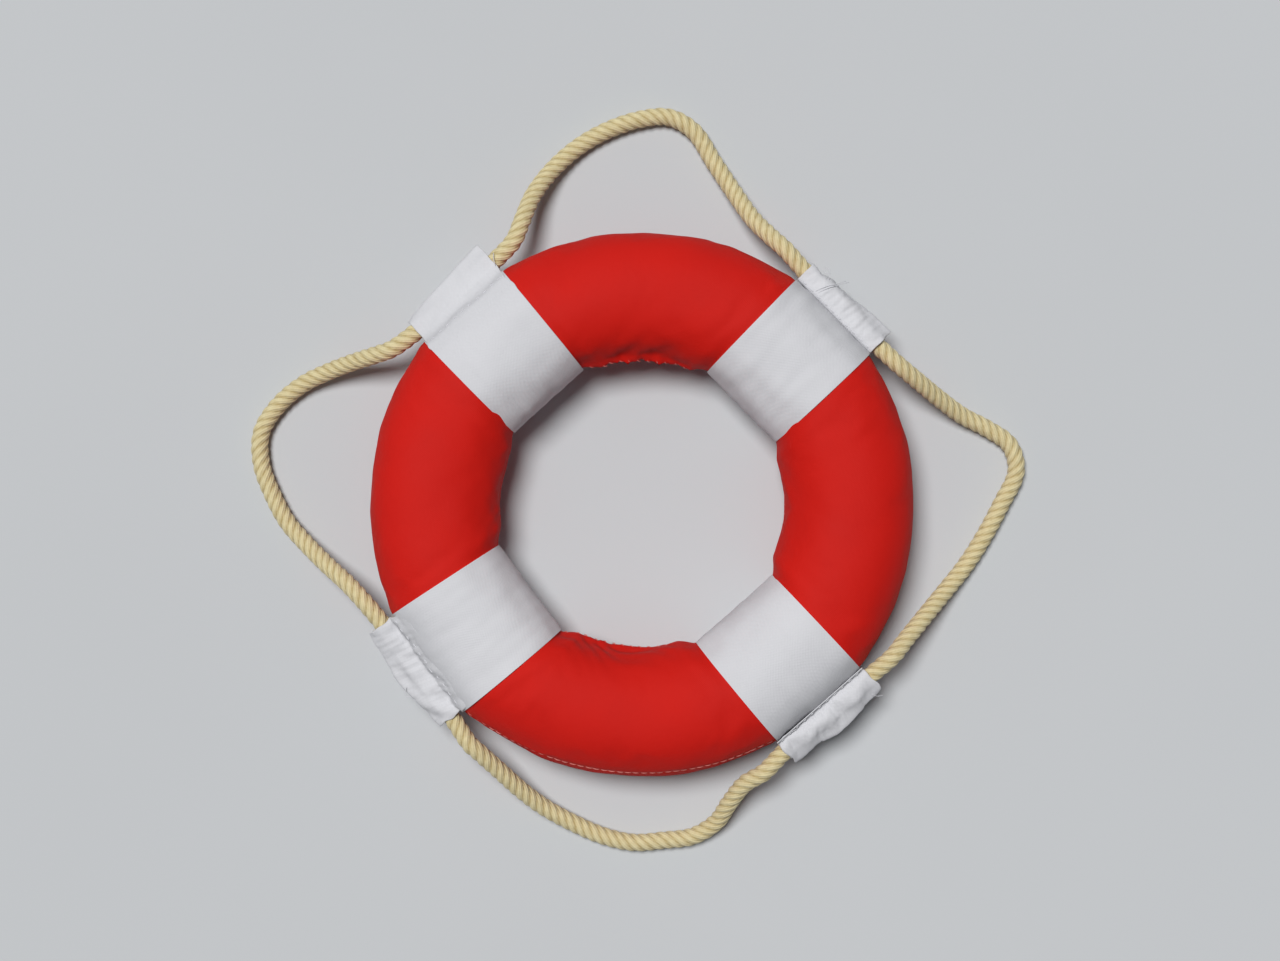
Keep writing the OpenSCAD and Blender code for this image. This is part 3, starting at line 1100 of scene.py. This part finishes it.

# %% [markdown]
# The rope's UV map runs along its strands, so the grooves between strands and the fine yarns
# can be drawn on the map. Shade is painted into the grooves, which are darker and yellower, and
# the crests are painted paler where light falls on them. The yarns lean against the twist of the
# strands as they do in a laid rope. Two noises give its fuzz and the patches where it is handled.

# %% Rope finish
YARNS, YARN_LAY = 4, 0.0030
rope_finish = Finish("cotton rope", Roughness=0.85, Sheen_Weight=0.15, Sheen_Roughness=0.5)
run, turn, _ = rope_finish.split(rope_finish.cloth())
place = rope_finish.place()
# Painted shade: the rope's colour is darker in the grooves between strands and paler on the crests.
painted_groove_shade = (turn * (math.pi * STRANDS)).cosine().size()
yarns = (turn * (2 * math.pi * STRANDS * YARNS) + run * (2 * math.pi / YARN_LAY)).sine() * 0.5 + 0.5
fuzz = rope_finish.noise(place, 1500, detail=3)
worn = rope_finish.noise(place, 330, detail=3)
tone = painted_groove_shade ** 0.7 * 0.7 + yarns * 0.18 + fuzz * 0.3 + worn * 0.7 - 0.46
rope_colour = rope_finish.mix(tone, (0.42, 0.31, 0.12, 1), (0.76, 0.67, 0.40, 1))
rope_finish.paint(Base_Color=rope_colour)
rope_finish.bump(yarns * 0.6 + fuzz * 0.7 + worn * 0.8, 0.6, 0.0004)
rope_finish.put_on(*ropes.values())
print("yarns round the rope:", STRANDS * YARNS)

# %% [markdown]
# Thread is fine and slightly shiny, and the foam and the tape inside are hidden but still get
# a finish of their own.

# %% Thread, foam and tape finishes


def plain_finish(name, dark, light, scale, distance, **constants):
    finish = Finish(name, **constants)
    grain = finish.noise(finish.place(), scale)
    finish.paint(Base_Color=finish.mix(grain, dark, light))
    finish.bump(grain, 0.4, distance)
    return finish


red_thread = plain_finish("red thread", (0.52, 0.07, 0.06, 1), (0.85, 0.30, 0.26, 1), 2500,
                          0.0001, Roughness=0.5)
white_thread = plain_finish("white thread", (0.54, 0.54, 0.57, 1), (0.70, 0.70, 0.73, 1), 2500,
                            0.0001, Roughness=0.6)
foam = plain_finish("bead foam", (0.78, 0.78, 0.75, 1), (0.93, 0.93, 0.91, 1), 420, 0.0004,
                    Roughness=0.7)
tape = plain_finish("cloth tape", (0.52, 0.42, 0.25, 1), (0.68, 0.58, 0.38, 1), 900, 0.0002,
                    Roughness=0.8)
red_thread.put_on(*seam_rows)
white_thread.put_on(*sleeve_rows)
foam.put_on(foam_core)
tape.put_on(frame["nodes"]["rope_end_tape"])

# %% [markdown]
# The setting is a plain pale floor and one soft light from the upper left, with a faint even
# light from all round, so the shadows fall short and soft to the lower right. The light is a sun
# lamp with a wide disc: it is as soft as a large studio lamp and reaches the whole floor alike.

# %% Floor and light
FLOOR_SIZE, FLOOR_DROP = 24, 0.0002
LIGHT_PLACE = (-0.36, 0.42, 1.75)
LIGHT_STRENGTH, ALL_ROUND_STRENGTH = 2.97, 0.10

bpy.ops.object.select_all(action="DESELECT")
bpy.ops.mesh.primitive_plane_add(size=FLOOR_SIZE, location=(0, 0, -FLOOR_DROP))
floor = bpy.context.object
floor.name = "floor"
floor_finish = plain_finish("pale floor", (0.52, 0.535, 0.55, 1), (0.56, 0.575, 0.59, 1), 3,
                            0.0001, Roughness=0.9)
floor_finish.put_on(floor)

bpy.ops.object.light_add(type="SUN", location=LIGHT_PLACE)
key = bpy.context.object
key.data.angle = math.radians(22)
key.data.energy = LIGHT_STRENGTH
key.rotation_euler = (-key.location).to_track_quat("-Z", "Y").to_euler()

world = bpy.data.worlds.new("studio")
bpy.context.scene.world = world
world.use_nodes = True
background = world.node_tree.nodes["Background"]
background.inputs["Color"].default_value = (0.93, 0.96, 1, 1)
background.inputs["Strength"].default_value = ALL_ROUND_STRENGTH
bpy.context.scene.view_settings.view_transform = "Standard"
